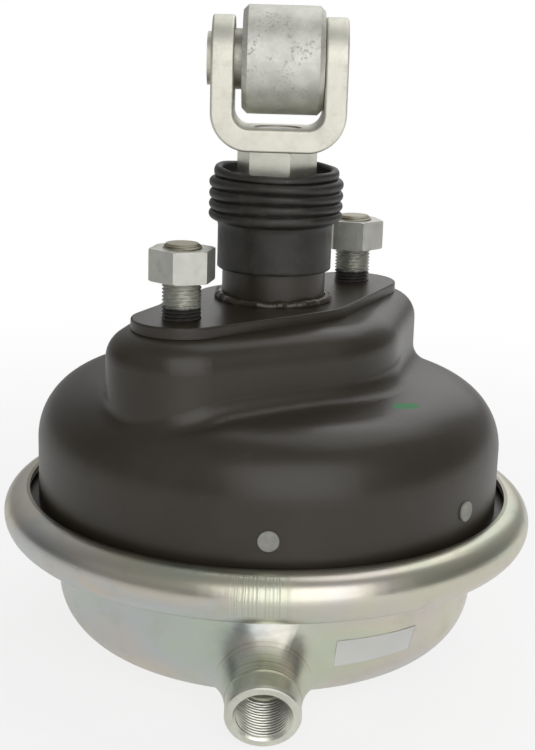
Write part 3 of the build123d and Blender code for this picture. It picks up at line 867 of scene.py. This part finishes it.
def label(name, sizes):
    """Blank label: a patch between four corners of angle and height, laid on the cone of the bowl's wall."""
    across = np.linspace(0.0, 1.0, 60)[None, :]
    up = np.linspace(0.0, 1.0, 24)[:, None]
    left, right = np.radians(between(LABEL_LEFT, up)), np.radians(between(LABEL_RIGHT, up))
    turn = between((left, right), across)
    z = between((between(LABEL_FOOT, across), between(LABEL_HEAD, across)), up) * MM
    edge = np.minimum(np.minimum(across, 1.0 - across) * 40.0, np.minimum(up, 1.0 - up) * 12.0)
    curl = np.clip(1.0 - edge, 0.0, 1.0) * (0.5 + 0.5 * np.sin(9.0 * turn + 4.0 * up))
    lift = sizes.label_lift * (1.0 + 0.9 * curl)
    reach = BOWL_TOP_RADIUS - (BOWL_TOP_Z - z) * math.tan(BOWL_TAPER) + lift
    points = np.stack([reach * np.cos(turn), reach * np.sin(turn), z], axis=-1)
    piece = surface(name, points, wrap_columns=False)
    thick = piece.modifiers.new("Paper", "SOLIDIFY")
    thick.thickness = sizes.label_lift
    thick.offset = -1.0
    return piece


def view_axes():
    """The camera's directions before its roll: back from the part, level to the right, and upright."""
    back = Vector((
        math.cos(CAMERA_PITCH) * math.cos(CAMERA_TURN),
        math.cos(CAMERA_PITCH) * math.sin(CAMERA_TURN),
        math.sin(CAMERA_PITCH),
    ))
    level = Vector((-math.sin(CAMERA_TURN), math.cos(CAMERA_TURN), 0.0))
    return back, level, back.cross(level)


def add_camera(scene):
    """Camera that sees the part as the photograph does."""
    back, level, upright = view_axes()
    right = level * math.cos(CAMERA_ROLL) + upright * math.sin(CAMERA_ROLL)
    up = upright * math.cos(CAMERA_ROLL) - level * math.sin(CAMERA_ROLL)
    target = level * TARGET_SIDE + Vector((0.0, 0.0, TARGET_Z))
    camera = bpy.data.objects.new("Camera", bpy.data.cameras.new("Camera"))
    camera.data.sensor_width = SENSOR_WIDTH
    camera.data.lens = SENSOR_WIDTH * FOCAL_SHARE
    camera.data.clip_start = 0.01
    axes = Matrix((right, up, back)).transposed().to_4x4()
    camera.matrix_world = Matrix.Translation(target + back * CAMERA_DISTANCE) @ axes
    scene.collection.objects.link(camera)
    scene.camera = camera


def add_lamps(scene):
    """Square area lamps that face the part."""
    back, level, _ = view_axes()
    flat = Vector((back.x, back.y, 0.0)).normalized()
    aim = Vector((0.0, 0.0, LAMP_AIM_Z))
    for name, (forward, right, rise, size, power) in LAMPS.items():
        lamp = bpy.data.lights.new(name, "AREA")
        lamp.size = size
        lamp.energy = power
        holder = bpy.data.objects.new(name, lamp)
        spot = flat * forward + level * right + Vector((0.0, 0.0, rise))
        facing = spot.to_track_quat("Z", "Y").to_matrix().to_4x4()
        holder.matrix_world = Matrix.Translation(aim + spot) @ facing
        scene.collection.objects.link(holder)


def add_sky(scene):
    """White to the camera; in reflections a dim room, lighter above, behind and a little to the right."""
    back, level, _ = view_axes()
    away = Vector((-back.x, -back.y, 0.0)).normalized()
    world = bpy.data.worlds.new("Studio")
    world.use_nodes = True
    scene.world = world
    g = Graph(world.node_tree)
    camera_ray, glossy_ray, clear_ray = g.rays("Is Camera Ray", "Is Glossy Ray", "Is Transmission Ray")
    way = g.place()
    above = g.fade(g.split(way)[2], 0.0, 0.8)
    right = g.fade(g.vector("DOT_PRODUCT", way, tuple(level), "Value"), -0.5, 0.7)
    behind = g.fade(g.vector("DOT_PRODUCT", way, tuple(away), "Value"), 0.2, 0.95)
    room = 0.10 + 0.16 * above + 0.02 * right + 0.22 * behind
    seen = camera_ray.larger(clear_ray)
    strength = seen + (1.0 - seen) * (glossy_ray * room + (1.0 - glossy_ray) * 0.30)
    sky = g.node("ShaderNodeBackground", values={"Color": (1.0, 1.0, 1.0), "Strength": strength})
    g.node("ShaderNodeOutputWorld", values={"Surface": sky})


def floor_finish():
    """Pale matt floor that keeps a shadow: near white to the camera; in reflections darker on the left and
    brighter close to the part, a painted reflection.
    """
    level = view_axes()[1]
    material = bpy.data.materials.new("Floor")
    material.use_nodes = True
    g = Graph(material.node_tree)
    camera_ray, glossy_ray, clear_ray = g.rays("Is Camera Ray", "Is Glossy Ray", "Is Transmission Ray")
    x, y, _ = g.split(g.place())
    apart = (x * x + y * y) ** 0.5
    rightward = g.fade(x * level.x + y * level.y, -0.40, 0.40)
    # Painted reflection: seen in reflections only, the floor glows brighter close to the part, where a real floor
    # would lie in its shadow.
    near = 1.0 - g.fade(apart, 0.125, 0.165)
    mirrored = 0.24 + 0.36 * rightward + 0.12 * near
    seen = camera_ray.larger(clear_ray).larger(glossy_ray * mirrored)
    white_share = 0.80 + 0.20 * g.fade(apart, 0.20, 0.75)
    lit = g.node("ShaderNodeBsdfDiffuse", values={"Color": (0.86, 0.86, 0.85)})
    white = g.node("ShaderNodeEmission", values={"Color": (1.0, 1.0, 1.0), "Strength": 1.0})
    mixed = g.node("ShaderNodeMixShader", values={0: seen * white_share, 1: lit, 2: white})
    g.node("ShaderNodeOutputMaterial", values={"Surface": mixed})
    return material


def chosen(context):
    """The sizes and colours set in the sidebar."""
    return context.scene.chamber_sizes, context.scene.chamber_colours


class CHAMBER_OT_finishes(bpy.types.Operator):
    """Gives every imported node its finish"""

    bl_idname = "chamber.finishes"
    bl_label = "Finishes"

    def execute(self, context):
        colours = chosen(context)[1]
        nut = tuple(colours.nut)
        clevis = tuple(colours.clevis)
        finishes = {
            black_paint("Black paint, crown", colours, mark=True): ["upper_housing"],
            black_paint("Black paint", colours): ["mounting_plate", "neck_tube"],
            cover_zinc("Cover zinc", colours): ["pressure_cover"],
            plated("Nut zinc", nut, 0.42, 0.22, cloudy=0.08): ["stud_nut_left", "stud_nut_right"],
            # Painted light: the lock nut takes the clevis plating lightened by a quarter, brightening it in the
            # shade under the clevis.
            plated("Lock nut zinc", shaded(clevis, 1.25), 0.38, 0.10, cloudy=0.06): ["lock_nut"],
            plated("Clevis zinc", clevis, 0.52, 0.14, 0.0012, 0.07, 0.00008): ["clevis", "clevis_pin"],
            plated("Sleeve steel", (0.42, 0.41, 0.36), 0.42, 0.6): ["roller_sleeve"],
            scuffed_roller("Roller steel", tuple(colours.roller)): ["roller"],
            plated("Rod steel", (0.50, 0.49, 0.45), 0.40, 0.4): ["pushrod", "push_plate", "rod_weld"],
            moulded("Vent plastic", tuple(colours.vent)): ["vent_plug_1", "vent_plug_2", "vent_plug_3"],
        }
        for material, names in finishes.items():
            for node in names:
                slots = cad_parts[node].data.materials
                slots.clear()
                slots.append(material)
        return {"FINISHED"}


class CHAMBER_OT_studs(bpy.types.Operator):
    """Adds the two threaded studs"""

    bl_idname = "chamber.studs"
    bl_label = "Threaded Studs"

    def execute(self, context):
        sizes, colours = chosen(context)
        material = plated(
            "Stud zinc", tuple(colours.nut), 0.48, 0.2, depth=0.00003, foot=PAINT_LINE, tip=NUT_TOP
        )
        for side, node in STUDS.items():
            piece = dress(stud(f"threaded_stud_{side}", node, sizes), material, "stud_zinc", node)
            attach(piece, "housing")
        return {"FINISHED"}


class CHAMBER_OT_port(bpy.types.Operator):
    """Adds the air port boss with its threaded bore"""

    bl_idname = "chamber.port"
    bl_label = "Air Port"

    def execute(self, context):
        sizes = chosen(context)[0]
        material = port_steel("Port steel", (0.80, 0.80, 0.71))
        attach(dress(port("threaded_port", sizes), material, "port_steel", "port_boss"), "housing")
        return {"FINISHED"}


class CHAMBER_OT_weld(bpy.types.Operator):
    """Adds the weld round the neck tube"""

    bl_idname = "chamber.weld"
    bl_label = "Neck Weld"

    def execute(self, context):
        sizes, colours = chosen(context)
        material = black_paint("Painted weld", colours, gloss=0.14)
        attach(dress(weld("weld_bead", sizes), material, "black_paint", "neck_weld"), "housing")
        return {"FINISHED"}


class CHAMBER_OT_boot(bpy.types.Operator):
    """Adds the rubber boot"""

    bl_idname = "chamber.boot"
    bl_label = "Rubber Boot"

    def execute(self, context):
        sizes, colours = chosen(context)
        material = rubber("Boot rubber", tuple(colours.rubber), 0.3)
        piece = dress(boot("bellows_boot", sizes), material, "boot_rubber", "rod_boot")
        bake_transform(piece)
        return {"FINISHED"}


class CHAMBER_OT_inside(bpy.types.Operator):
    """Adds the return spring and the diaphragm"""

    bl_idname = "chamber.inside"
    bl_label = "Spring and Diaphragm"

    def execute(self, context):
        colours = chosen(context)[1]
        steel = plated("Spring steel", (0.24, 0.23, 0.21), 0.42, 0.4)
        coil = dress(spring("coil_spring"), steel, "spring_steel", "return_spring")
        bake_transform(coil)
        skin = rubber("Diaphragm rubber", tuple(colours.rubber), 0.1)
        cup = dress(diaphragm("rubber_diaphragm"), skin, "diaphragm_rubber", "diaphragm")
        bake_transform(cup)
        return {"FINISHED"}


class CHAMBER_OT_label(bpy.types.Operator):
    """Adds the blank label on the bowl"""

    bl_idname = "chamber.label"
    bl_label = "Blank Label"

    def execute(self, context):
        sizes, colours = chosen(context)
        piece = dress(label("blank_label", sizes), paper("Label paper", tuple(colours.label)), "cover_zinc")
        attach(piece, "housing")
        return {"FINISHED"}


class CHAMBER_OT_stage(bpy.types.Operator):
    """Sets the camera, the lights, the pale floor and the white background"""

    bl_idname = "chamber.stage"
    bl_label = "Studio"

    def execute(self, context):
        scene = context.scene
        add_camera(scene)
        add_lamps(scene)
        add_sky(scene)
        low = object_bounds()[0].z
        x, y = np.meshgrid([-FLOOR_REACH, FLOOR_REACH], [-FLOOR_REACH, FLOOR_REACH])
        corners = np.stack([x, y, np.full_like(x, low - FLOOR_GAP)], axis=-1)
        ground = surface("Floor", corners, wrap_columns=False)
        ground.data.materials.append(floor_finish())
        ground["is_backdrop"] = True
        scene.view_settings.view_transform = "Standard"
        return {"FINISHED"}


STEPS = (
    CHAMBER_OT_finishes,
    CHAMBER_OT_studs,
    CHAMBER_OT_port,
    CHAMBER_OT_weld,
    CHAMBER_OT_boot,
    CHAMBER_OT_inside,
    CHAMBER_OT_label,
    CHAMBER_OT_stage,
)


class CHAMBER_PT_panel(bpy.types.Panel):
    """Lists the sizes, the colours and the steps"""

    bl_idname = "CHAMBER_PT_panel"
    bl_label = "Brake Chamber"
    bl_space_type = "VIEW_3D"
    bl_region_type = "UI"
    bl_category = "Brake Chamber"

    def draw(self, context):
        for group in chosen(context):
            box = self.layout.box()
            for key in group.__annotations__:
                box.prop(group, key)
        for step in STEPS:
            self.layout.operator(step.bl_idname)


CLASSES = (ChamberSizes, ChamberColours, *STEPS, CHAMBER_PT_panel)


def register():
    for item in CLASSES:
        bpy.utils.register_class(item)
    bpy.types.Scene.chamber_sizes = bpy.props.PointerProperty(type=ChamberSizes)
    bpy.types.Scene.chamber_colours = bpy.props.PointerProperty(type=ChamberColours)


def unregister():
    del bpy.types.Scene.chamber_colours
    del bpy.types.Scene.chamber_sizes
    for item in reversed(CLASSES):
        bpy.utils.unregister_class(item)


def main():
    register()
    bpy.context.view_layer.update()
    for step in STEPS:
        group, name = step.bl_idname.split(".")
        getattr(getattr(bpy.ops, group), name)()


if __name__ == "__main__":
    main()
